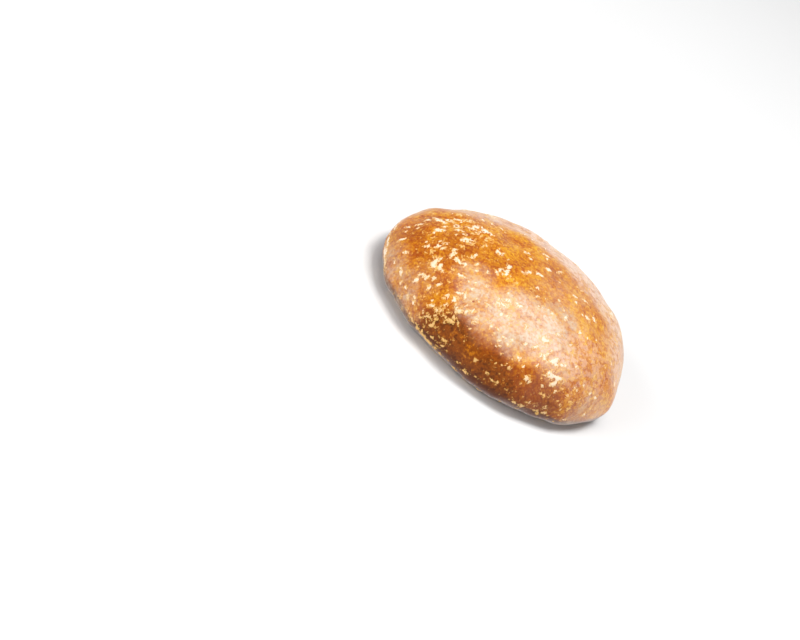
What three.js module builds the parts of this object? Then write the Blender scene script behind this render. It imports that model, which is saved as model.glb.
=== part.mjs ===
// A glazed gingerbread cookie: one slightly oval dome of baked dough on a flat foot, with
// flakes of dried sugar glaze standing a little proud of its skin.
// Millimetres, +Z up. The foot lies on Z = 0, centred on the origin, and +X runs along the
// longer of the cookie's two widths.

import * as THREE from "three";
import { mergeVertices } from "three/addons/utils/BufferGeometryUtils.js";

// Driving dimensions
const LENGTH = 62;
const WIDTH = 59.5;
const HEIGHT = 19.7;
const WAIST_HEIGHT = 4.2; // height of the widest line above the foot
const FOOT_SHARE = 0.83; // radius of the flat foot as a share of the waist's
const DOME_FULLNESS = 2.12; // 2 is an ellipse, more is a squarer shoulder
const DOME_FLATNESS = 2.1; // 2 is an ellipse, more is a flatter crown
const LOBE_DEPTH = -0.014; // how far three soft corners lie off the oval, as a share of the radius
const LOBE_BEARING = 15; // degrees
const RISE_ALONG_X = 0.02; // the crown leans a little: extra height for each mm along X
const RISE_ALONG_Y = 0.017;

// Mesh
const BALL_DETAIL = 19;
const WAIST_POLAR = 107.5; // degrees down the ball that become the waist
const FOOT_POLAR = 134.4; // degrees down the ball that become the edge of the foot
const RELIEF_FADE = [150, 175]; // degrees of drop between which the relief fades out to the flat foot

// Places on the skin are given by bearing, in degrees from +X towards +Y, and by drop, in degrees:
// 0 at the crown, 90 on the waist and 180 at the edge of the foot.

// Soft swells and hollows of the dough: bearing, drop, reach in mm, rise in mm
const SWELLS = [
  { bearing: 4, drop: 78, reach: 8, rise: -0.45 },
  { bearing: 350, drop: 98, reach: 8, rise: 0.35 },
  { bearing: 30, drop: 58, reach: 8, rise: 0.3 },
  { bearing: 309, drop: 130, reach: 6, rise: -0.35 },
  { bearing: 296, drop: 145, reach: 5, rise: -0.35 },
  { bearing: 258, drop: 145, reach: 9, rise: -0.55 },
  { bearing: 228, drop: 132, reach: 6, rise: -0.35 },
  { bearing: 200, drop: 110, reach: 6, rise: -0.35 },
  { bearing: 170, drop: 73, reach: 8, rise: 0.4 },
  { bearing: 146, drop: 54, reach: 7, rise: -0.2 },
  { bearing: 107, drop: 43, reach: 6, rise: 0.2 },
  { bearing: 75, drop: 46, reach: 6, rise: -0.12 },
];

// Low ripple all over the dough
const RIPPLE_COUNT = 14;
const RIPPLE_LONGEST = 17; // mm from crest to crest
const RIPPLE_SHORTEST = 6;
const RIPPLE_RISE = 0.05; // mm for each of the waves

// Flakes of dried glaze: bearing, drop, length and width in mm, and the turn of the length, in
// degrees from straight downhill towards a growing bearing
const FLAKE_RISE = 0.25; // mm
const FLAKE_SKIRT = 1.5; // a flake slopes down to the dough at this multiple of its nominal size
const FLAKES = [
  [185, 50, 5.2, 1.2, 0],
  [190, 60, 1.6, 1.1, 60],
  [189, 68, 2.2, 1.5, 0],
  [198, 47, 2.8, 1.1, 0],
  [213, 47, 2.4, 1.8, 20],
  [226, 54, 3.8, 2.6, 50],
  [218, 41, 2.1, 1.2, 70],
  [224, 39, 3.2, 1.2, -48],
  [197, 38, 2.4, 1.0, 10],
  [204, 34, 3.2, 2.0, 0],
  [222, 31, 2.0, 1.3, 40],
  [184, 26, 4.2, 1.8, 20],
  [222, 18, 1.8, 1.1, 60],
  [239, 47, 1.8, 1.1, 60],
  [229, 66, 2.6, 1.4, 50],
  [227, 71, 1.8, 1.2, 0],
  [245, 52, 2.4, 1.1, 80],
  [230, 80, 1.9, 1.2, 0],
  [220, 76, 1.6, 1.2, 0],
  [247, 14, 2.4, 1.6, 60],
  [280, 9, 2.8, 1.3, 80],
  [5, 7, 2.2, 1.0, 0],
  [170, 8, 2.4, 1.0, 0],
  [242, 20, 2.8, 1.5, 70],
  [251, 59, 3.6, 1.4, 75],
  [254, 70, 3.4, 2.0, 55],
  [248, 74, 2.6, 1.0, 70],
  [246, 80, 3.2, 2.2, 45],
  [270, 53, 3.6, 1.2, 85],
  [297, 42, 2.4, 1.2, 80],
  [305, 53, 4.6, 1.6, 75],
  [306, 62, 4.2, 1.6, 60],
  [347, 55, 1.6, 1.1, 0],
  [291, 68, 2.0, 1.4, 60],
  [328, 68, 1.5, 1.2, 0],
  [306, 89, 3.4, 1.4, 90],
  [318, 97, 2.8, 1.3, 90],
  [327, 32, 1.7, 1.3, 0],
  [352, 29, 1.9, 1.4, 0],
  [109, 16, 2.8, 1.1, 30],
  [155, 27, 2.0, 1.1, 0],
  [272, 101, 2.8, 1.4, 90],
  [293, 95, 3.2, 1.4, 90],
].map(([bearing, drop, length, width, turn]) => ({ bearing, drop, length, width, turn }));

// More flakes on the far side, spread by a rule
const FAR_FLAKE_COUNT = 26;
const FAR_BEARINGS = [22, 168];
const FAR_DROPS = [38, 98];
const FAR_LENGTHS = [1.6, 4.2];
const FAR_WIDTH_SHARES = [0.4, 0.8]; // of the length
const FAR_STEPS = { bearing: 0.7549, drop: 0.5698, length: 0.5497, width: 0.618, turn: 0.3247 };

const PROBE_STEP = 0.01; // radians: a short way over the skin, to find which way it runs

const rad = (degrees) => THREE.MathUtils.degToRad(degrees);
const QUARTER = Math.PI / 2;

// The smooth dough's skin at a bearing and drop in radians
function skinPoint(bearing, drop) {
  const lobes = 1 + LOBE_DEPTH * Math.cos(3 * (bearing - rad(LOBE_BEARING)));
  const below = drop > QUARTER;
  const domeShare = Math.sin(Math.min(drop, QUARTER)) ** (2 / DOME_FULLNESS);
  const footShare = FOOT_SHARE + (1 - FOOT_SHARE) * Math.sin(drop);
  const share = lobes * (below ? footShare : domeShare);
  const x = (LENGTH / 2) * share * Math.cos(bearing);
  const y = (WIDTH / 2) * share * Math.sin(bearing);
  const domeHeight = (HEIGHT - WAIST_HEIGHT) * Math.max(Math.cos(drop), 0) ** (2 / DOME_FLATNESS);
  const level = below ? WAIST_HEIGHT * (1 + Math.cos(drop)) : WAIST_HEIGHT + domeHeight;
  const lean = 1 + (RISE_ALONG_X * x + RISE_ALONG_Y * y) / HEIGHT;
  return new THREE.Vector3(x, y, level * lean);
}

// Where a point of the unit ball goes: its bearing, its drop, and how far in under the foot it is
function placeOf(ballPoint) {
  const bearing = Math.atan2(ballPoint.y, ballPoint.x);
  const polar = THREE.MathUtils.radToDeg(Math.acos(THREE.MathUtils.clamp(ballPoint.z, -1, 1)));
  if (polar <= WAIST_POLAR) {
    return { bearing, drop: (QUARTER * polar) / WAIST_POLAR, inward: 0 };
  }
  if (polar <= FOOT_POLAR) {
    const underShare = (polar - WAIST_POLAR) / (FOOT_POLAR - WAIST_POLAR);
    return { bearing, drop: QUARTER * (1 + underShare), inward: 0 };
  }
  return { bearing, drop: Math.PI, inward: (polar - FOOT_POLAR) / (180 - FOOT_POLAR) };
}

// 1 at the middle of a bump, falling smoothly to 0 where its distance share reaches 1
function bump(distanceShare) {
  const left = Math.max(1 - distanceShare ** 2, 0);
  return left * left * (3 - 2 * left);
}

// The waves of the ripple: each runs in its own direction, spread evenly over the ball
function makeRipple() {
  const goldenAngle = Math.PI * (3 - Math.sqrt(5));
  return Array.from({ length: RIPPLE_COUNT }, (_, i) => {
    const up = 1 - (2 * i + 1) / RIPPLE_COUNT;
    const around = Math.sqrt(1 - up * up);
    const crest = RIPPLE_LONGEST * (RIPPLE_SHORTEST / RIPPLE_LONGEST) ** (i / (RIPPLE_COUNT - 1));
    const turn = i * goldenAngle;
    const run = new THREE.Vector3(around * Math.cos(turn), around * Math.sin(turn), up);
    return { run: run.multiplyScalar((2 * Math.PI) / crest), phase: turn };
  });
}

function sum(values) {
  return values.reduce((total, value) => total + value, 0);
}

function rippleRise(point, waves) {
  const rises = waves.map(({ run, phase }) => RIPPLE_RISE * Math.sin(run.dot(point) + phase));
  return sum(rises);
}

// The fractional part of a multiple of an irrational step: an even, repeatable spread in 0 to 1
function spread(index, step) {
  return (index * step) % 1;
}

function makeFarFlakes() {
  return Array.from({ length: FAR_FLAKE_COUNT }, (_, i) => {
    const number = i + 1;
    const length = THREE.MathUtils.lerp(...FAR_LENGTHS, spread(number, FAR_STEPS.length) ** 2);
    return {
      bearing: THREE.MathUtils.lerp(...FAR_BEARINGS, spread(number, FAR_STEPS.bearing)),
      drop: THREE.MathUtils.lerp(...FAR_DROPS, spread(number, FAR_STEPS.drop)),
      length,
      width: length * THREE.MathUtils.lerp(...FAR_WIDTH_SHARES, spread(number, FAR_STEPS.width)),
      turn: 180 * spread(number, FAR_STEPS.turn),
    };
  });
}

// A flake's middle on the skin, and the two directions along its length and its width
function layFlake({ bearing, drop, length, width, turn }) {
  const middle = skinPoint(rad(bearing), rad(drop));
  const downhill = skinPoint(rad(bearing), rad(drop) + PROBE_STEP).sub(middle).normalize();
  const onward = skinPoint(rad(bearing) + PROBE_STEP, rad(drop)).sub(middle).normalize();
  const along = downhill.clone().multiplyScalar(Math.cos(rad(turn)));
  along.addScaledVector(onward, Math.sin(rad(turn)));
  const across = downhill.clone().multiplyScalar(-Math.sin(rad(turn)));
  across.addScaledVector(onward, Math.cos(rad(turn)));
  return { middle, along, across, length, width };
}

function flakeRise(point, flakes) {
  const offset = new THREE.Vector3();
  let rise = 0;
  for (const { middle, along, across, length, width } of flakes) {
    offset.subVectors(point, middle);
    if (offset.length() > length) {
      continue;
    }
    const share = Math.hypot(offset.dot(along) / (length / 2), offset.dot(across) / (width / 2));
    rise = Math.max(rise, FLAKE_RISE * bump(share / FLAKE_SKIRT));
  }
  return rise;
}

function swellRise(point, swells) {
  return sum(swells.map(({ middle, reach, rise }) => rise * bump(point.distanceTo(middle) / reach)));
}

// Moves the geometry so that its box stands centred on the origin, on Z = 0
function standOnOrigin(geometry) {
  geometry.computeBoundingBox();
  const { min, max } = geometry.boundingBox;
  geometry.translate(-(min.x + max.x) / 2, -(min.y + max.y) / 2, -min.z);
}

function makeCookieGeometry() {
  const ball = new THREE.IcosahedronGeometry(1, BALL_DETAIL);
  ball.deleteAttribute("normal");
  ball.deleteAttribute("uv");
  const geometry = mergeVertices(ball, 1e-5);
  const position = geometry.getAttribute("position");
  const ballPoint = new THREE.Vector3();
  const places = [];
  for (let i = 0; i < position.count; i++) {
    const place = placeOf(ballPoint.fromBufferAttribute(position, i).normalize());
    const point = skinPoint(place.bearing, place.drop);
    point.x *= 1 - place.inward;
    point.y *= 1 - place.inward;
    position.setXYZ(i, point.x, point.y, place.drop === Math.PI ? 0 : point.z);
    places.push(place);
  }

  geometry.computeVertexNormals();
  const normal = geometry.getAttribute("normal");
  const waves = makeRipple();
  const flakes = [...FLAKES, ...makeFarFlakes()].map(layFlake);
  const swells = SWELLS.map(({ bearing, drop, reach, rise }) => {
    return { middle: skinPoint(rad(bearing), rad(drop)), reach, rise };
  });
  const point = new THREE.Vector3();
  const outward = new THREE.Vector3();
  for (let i = 0; i < position.count; i++) {
    const { drop } = places[i];
    const fade = 1 - THREE.MathUtils.smoothstep(drop, ...RELIEF_FADE.map(rad));
    if (fade === 0) {
      continue;
    }
    point.fromBufferAttribute(position, i);
    outward.fromBufferAttribute(normal, i);
    const rise = rippleRise(point, waves) + swellRise(point, swells) + flakeRise(point, flakes);
    point.addScaledVector(outward, rise * fade);
    position.setXYZ(i, point.x, point.y, Math.max(point.z, 0));
  }
  standOnOrigin(geometry);
  geometry.computeVertexNormals();
  return geometry;
}

const glazedCrust = new THREE.MeshStandardMaterial({ color: 0xe4a562, roughness: 0.4, metalness: 0 });

const cookie = new THREE.Mesh(makeCookieGeometry(), glazedCrust);
cookie.name = "cookie";

const group = new THREE.Group();
group.add(cookie);

export default group;
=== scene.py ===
"""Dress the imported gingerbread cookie: a fine skin with its sugar flakes, its glaze, and a plain studio.

Lengths are in millimetres and angles in degrees unless a name says otherwise; Blender's own objects
are in metres. A place on the skin is a bearing, from +X towards +Y, and a drop: 0 at the crown, 90 on
the waist and 180 at the edge of the foot.
"""

import itertools
import logging
import math
from dataclasses import dataclass, field
from enum import Enum
from typing import ClassVar

import bpy
import numpy as np
from mathutils import Matrix, Vector


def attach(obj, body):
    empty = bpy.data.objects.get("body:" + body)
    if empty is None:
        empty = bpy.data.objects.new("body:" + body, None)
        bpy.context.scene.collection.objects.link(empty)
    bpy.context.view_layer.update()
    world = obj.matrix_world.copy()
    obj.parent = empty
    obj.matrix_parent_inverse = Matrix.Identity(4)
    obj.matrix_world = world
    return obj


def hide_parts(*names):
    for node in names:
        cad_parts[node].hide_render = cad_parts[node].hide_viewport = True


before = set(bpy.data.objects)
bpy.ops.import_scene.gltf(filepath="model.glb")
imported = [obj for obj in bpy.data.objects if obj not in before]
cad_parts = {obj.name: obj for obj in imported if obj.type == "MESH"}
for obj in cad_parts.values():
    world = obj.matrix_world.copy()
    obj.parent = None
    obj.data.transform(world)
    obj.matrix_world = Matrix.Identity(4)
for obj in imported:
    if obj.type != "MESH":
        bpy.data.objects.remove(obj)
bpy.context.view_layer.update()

Array = np.ndarray
Colour = tuple[float, float, float]
METRES_PER_MM = 0.001
QUARTER_TURN = math.pi / 2

# The glaze is brushed on along Y, so what dries on it is longer that way
BRUSHED = (1.0, 0.68, 1.0)

log = logging.getLogger("gingerbread_cookie")


def bump(distance_share: Array) -> Array:
    """Return 1 at the middle of a bump, falling smoothly to 0 where the distance share is 1."""
    left = np.maximum(1 - distance_share**2, 0)
    return left * left * (3 - 2 * left)


def smooth_step(value: Array, low: float, high: float) -> Array:
    """Return 0 below low, 1 above high, and a smooth rise between them."""
    share = np.clip((value - low) / (high - low), 0, 1)
    return share * share * (3 - 2 * share)


def linear(red: int, green: int, blue: int) -> Colour:
    """Return a colour, given in the usual 0 to 255 steps, as linear light."""
    shares = [step / 255 for step in (red, green, blue)]
    return tuple(s / 12.92 if s <= 0.04045 else ((s + 0.055) / 1.055) ** 2.4 for s in shares)


class Grain:
    """Smooth noise in space, the same on every run."""

    # How many slopes there are to deal out to the corners of the lattice
    TABLE_SIZE = 256
    # Moves the lattice, so that the middle of the object isn't on one of its corners
    SHIFT = 41.7
    # Brings the values to about -1 to 1
    GAIN = 1.7

    def __init__(self, seed: int) -> None:
        """Draw the slopes of the lattice.

        Args:
            seed: picks one of many unlike grains.
        """
        draw = np.random.default_rng(seed)
        slopes = draw.normal(size=(self.TABLE_SIZE, 3))
        self.slopes = slopes / np.linalg.norm(slopes, axis=1, keepdims=True)
        self.order = draw.permutation(self.TABLE_SIZE)

    def at(self, points: Array, size: float) -> Array:
        """Read the grain at points.

        Args:
            points: places in millimetres, one to a row.
            size: distance between two lumps of the grain.

        Returns:
            One value to a point, about -1 to 1 with a mean of 0.
        """
        cell = points / size + self.SHIFT
        base = np.floor(cell).astype(int)
        part = cell - base
        ease = part**3 * (part * (part * 6 - 15) + 10)
        total = np.zeros(len(points))
        for corner in itertools.product((0, 1), repeat=3):
            picked = np.zeros(len(points), int)
            for axis in range(3):
                picked = self.order[(picked + base[:, axis] + corner[axis]) % self.TABLE_SIZE]
            slope = np.einsum("ij,ij->i", self.slopes[picked], part - np.array(corner))
            weight = np.prod(np.where(np.array(corner) == 1, ease, 1 - ease), axis=1)
            total += weight * slope
        return total * self.GAIN


@dataclass(frozen=True)
class Clouds:
    """Unevenness laid over the skin: its grain's seed, its strength, the size of its lumps, and a shift.

    Clouds of one grain are unlike each other where their shifts differ.
    """

    seed: int
    strength: float
    size: float
    shift: float = 0.0

    def over(self, points: Array) -> Array:
        """Return the unevenness at each of the points, about as far as the strength either way."""
        return self.strength * Grain(self.seed).at(points + self.shift, self.size)


@dataclass(frozen=True)
class Dough:
    """The smooth baked form: a slightly oval dome on a flat foot."""

    length: float = 62.0
    width: float = 59.5
    height: float = 19.7
    waist_height: float = 4.2
    foot_share: float = 0.83

    # Exponents of the dome's side profile, sideways and upwards; with 2 it would be an ellipse
    dome_fullness: float = 2.12
    dome_flatness: float = 2.1

    # Shallow lobes round the waist, and how far the crown rises for each millimetre along X and Y
    lobe_count: int = 3
    lobe_depth: float = -0.014
    lobe_bearing: float = 15.0
    rise_along_x: float = 0.02
    rise_along_y: float = 0.017

    def skin(self, bearing: Array, drop: Array) -> Array:
        """Find points of the smooth skin.

        Args:
            bearing: bearings in radians.
            drop: drops in radians.

        Returns:
            Points in millimetres, with a last axis of three.
        """
        below = drop > QUARTER_TURN
        dome_share = np.sin(np.minimum(drop, QUARTER_TURN)) ** (2 / self.dome_fullness)
        foot_share = self.foot_share + (1 - self.foot_share) * np.sin(drop)
        lobes = 1 + self.lobe_depth * np.cos(self.lobe_count * (bearing - math.radians(self.lobe_bearing)))
        share = lobes * np.where(below, foot_share, dome_share)
        x = self.length / 2 * share * np.cos(bearing)
        y = self.width / 2 * share * np.sin(bearing)
        dome_height = self.height - self.waist_height
        dome_level = dome_height * np.maximum(np.cos(drop), 0) ** (2 / self.dome_flatness)
        foot_level = self.waist_height * (1 + np.cos(drop))
        level = np.where(below, foot_level, self.waist_height + dome_level)
        lean = 1 + (self.rise_along_x * x + self.rise_along_y * y) / self.height
        return np.stack([x, y, level * lean], axis=-1)

    def place(self, bearing: float, drop: float) -> Array:
        """Return the point of the smooth skin at a bearing and a drop in degrees."""
        return self.skin(np.array(math.radians(bearing)), np.array(math.radians(drop)))

    def drops_for(self, reach: Array) -> Array:
        """Turn shares of the way over the skin, from the crown to the foot's edge, into drops.

        Args:
            reach: shares of the way, from 0 to 1.

        Returns:
            Drops in radians, spaced evenly along the skin where the shares are.
        """
        places_down = 721
        drops = np.linspace(0, math.pi, places_down)
        rib = self.skin(np.zeros_like(drops), drops)
        steps = np.linalg.norm(np.diff(rib, axis=0), axis=1)
        way = np.concatenate([[0], np.cumsum(steps)])
        return np.interp(reach * way[-1], way, drops)


@dataclass(frozen=True)
class Spot:
    """A patch on the skin: its place, its length and width, and the turn of its length from downhill."""

    # A step in degrees, small enough to tell which way is downhill
    NUDGE: ClassVar[float] = 0.5
    # How far a patch reaches out of its own plane
    DEPTH: ClassVar[float] = 4.0

    bearing: float
    drop: float
    length: float
    width: float
    turn: float = 0.0
    strength: float = 1.0

    def shares(self, points: Array, dough: Dough) -> Array:
        """Measure how far points are from the middle of the patch.

        Args:
            points: places in millimetres, one to a row.
            dough: the form that the patch lies on.

        Returns:
            The distances as shares of the patch's half size, 1 on its edge.
        """
        middle = dough.place(self.bearing, self.drop)
        downhill = dough.place(self.bearing, self.drop + self.NUDGE) - middle
        onward = dough.place(self.bearing + self.NUDGE, self.drop) - middle
        downhill = downhill / np.linalg.norm(downhill)
        onward = onward / np.linalg.norm(onward)
        cosine = math.cos(math.radians(self.turn))
        sine = math.sin(math.radians(self.turn))
        offset = (points - middle) * BRUSHED
        along = offset @ (cosine * downhill + sine * onward) * 2 / self.length
        across = offset @ (cosine * onward - sine * downhill) * 2 / self.width
        off_plane = offset @ np.cross(downhill, onward) / self.DEPTH
        return np.sqrt(along**2 + across**2 + off_plane**2)


@dataclass(frozen=True)
class Area:
    """A soft round area of the skin, and the amount of something in it, such as a rise or many specks."""

    bearing: float
    drop: float
    reach: float
    amount: float

    def amounts(self, points: Array, dough: Dough) -> Array:
        """Return how much of the amount each of the points gets."""
        distance = np.linalg.norm(points - dough.place(self.bearing, self.drop), axis=1)
        return self.amount * bump(distance / self.reach)


def gathered(areas: tuple[Area, ...], points: Array, dough: Dough) -> Array:
    """Return the sum of what the areas give to each of the points."""
    return sum((area.amounts(points, dough) for area in areas), np.zeros(len(points)))


# Rises and hollows of the dough, in millimetres
SWELLS = (
    Area(4, 78, 8, -0.45),
    Area(350, 98, 8, 0.35),
    Area(30, 58, 8, 0.3),
    Area(309, 130, 6, -0.35),
    Area(296, 145, 5, -0.35),
    Area(258, 145, 9, -0.55),
    Area(228, 132, 6, -0.35),
    Area(200, 110, 6, -0.35),
    Area(170, 73, 8, 0.4),
    Area(146, 54, 7, -0.2),
    Area(107, 43, 6, 0.2),
    Area(75, 46, 6, -0.12),
)

# Where small specks of dried glaze crowd, and where they are few
SPECKLED = (
    Area(190, 50, 16, 0.2),
    Area(178, 28, 11, 0.45),
    Area(137, 45, 14, 0.4),
    Area(90, 45, 14, 0.3),
    Area(45, 45, 14, 0.35),
    Area(10, 60, 9, 0.4),
    Area(224, 44, 9, 0.35),
    Area(238, 62, 12, 0.25),
    Area(270, 24, 8, 0.3),
    Area(250, 80, 8, 0.4),
    Area(300, 52, 9, 0.2),
    Area(300, 30, 9, -0.3),
    Area(212, 14, 7, -0.3),
    Area(345, 40, 10, -0.3),
    Area(275, 72, 12, -0.1),
    Area(310, 76, 12, 0.3),
    Area(335, 66, 10, 0.3),
)

# Where a milky veil lies on the glaze: partly real bloom, partly painted highlight on the front and painted
# reflection along the rims
MILKY_AND_HIGHLIT = (
    Area(280, 38, 9, 1.3),
    Area(283, 49, 7, 0.8),
    Area(300, 42, 7, 1.0),
    Area(326, 50, 8, 0.2),
    Area(307, 57, 5, 0.4),
    Area(330, 16, 12, 0.2),
    Area(312, 28, 6, 0.7),
    Area(257, 48, 7, 0.8),
    Area(240, 40, 6, 0.6),
    Area(268, 58, 5, 0.3),
    Area(212, 94, 8, 0.5),
    Area(226, 86, 6, 0.3),
    Area(230, 68, 6, 0.15),
    Area(236, 98, 6, 0.3),
    Area(172, 76, 7, 0.4),
    Area(150, 48, 9, 0.3),
    Area(130, 38, 9, 0.3),
    Area(102, 30, 9, 0.3),
    Area(75, 30, 9, 0.4),
    Area(52, 24, 8, 0.4),
    Area(36, 42, 10, 0.4),
    Area(5, 60, 11, 0.5),
    Area(332, 90, 9, 0.4),
    Area(100, 66, 14, 0.3),
)

# Where pale glaze lies in streaks; partly painted reflection along the far rim and painted highlight on the
# front
STREAKED_AND_REFLECTED = (
    Area(150, 48, 9, 0.5),
    Area(130, 38, 9, 0.5),
    Area(102, 32, 9, 0.8),
    Area(75, 32, 9, 1.0),
    Area(52, 28, 8, 1.0),
    Area(36, 44, 10, 1.0),
    Area(5, 62, 11, 0.75),
    Area(332, 90, 9, 0.15),
    Area(326, 50, 11, 0.45),
    Area(304, 46, 9, 0.3),
    Area(278, 42, 10, 0.2),
    Area(335, 18, 10, 0.15),
)

# Where the glaze is deeper brown, or less than elsewhere: partly baked colour, partly painted shade low on
# the front and left sides
BROWNED_AND_SHADED = (
    Area(258, 86, 9, 1.2),
    Area(277, 88, 10, 1.0),
    Area(250, 74, 8, 0.2),
    Area(298, 94, 11, 0.6),
    Area(314, 76, 7, 0.25),
    Area(335, 70, 10, 0.1),
    Area(200, 52, 10, 0.2),
    Area(205, 70, 8, 0.15),
    Area(228, 62, 9, 0.3),
    Area(218, 32, 9, 0.2),
    Area(338, 36, 11, -0.15),
    Area(212, 55, 8, -0.1),
)

# Where the dried glaze has shrunk to a net of fine ridges round dark cells
CRACKLED = (
    Area(247, 80, 5.0, 0.3),
    Area(100, 70, 6.0, 0.8),
)
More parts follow.
